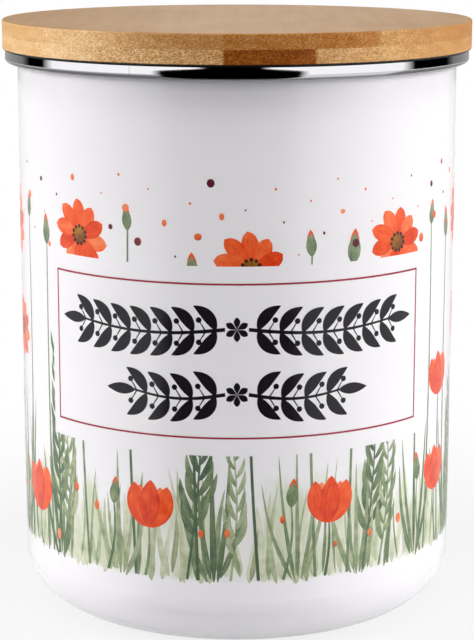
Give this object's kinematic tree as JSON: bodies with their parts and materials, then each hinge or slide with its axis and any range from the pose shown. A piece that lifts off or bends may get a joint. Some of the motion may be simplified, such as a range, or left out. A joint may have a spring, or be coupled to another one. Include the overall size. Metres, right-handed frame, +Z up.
{
  "type": "enamel storage canister",
  "caption": "Round white enamelled steel kitchen canister with a printed meadow border, a polished steel trim ring at the mouth and a lift-off bamboo lid with a silicone seal.",
  "frame": {"origin": "centre of the foot ring, on the surface that the canister stands on", "axes": "+Z up along the canister's axis; -Y is the front, where the printed label zone is; the bamboo's fibres run along Y"},
  "size_m": [0.128, 0.128, 0.1616],
  "materials": {
    "enamel": "glossy white vitreous enamel on steel",
    "polished_steel": "polished stainless steel",
    "bamboo": "sanded laminated bamboo, clear matt oil",
    "silicone": "matt translucent white silicone"
  },
  "bodies": {
    "canister": {"canister_body": "enamel", "rim_ring": "polished_steel"},
    "lid": {"bamboo_lid": "bamboo", "seal_ring": "silicone"}
  },
  "joints": [
    {"name": "lid_lift", "type": "slide", "parent": "canister", "child": "lid", "axis": [0, 0, 1], "range_m": [0, 0.045]}
  ]
}
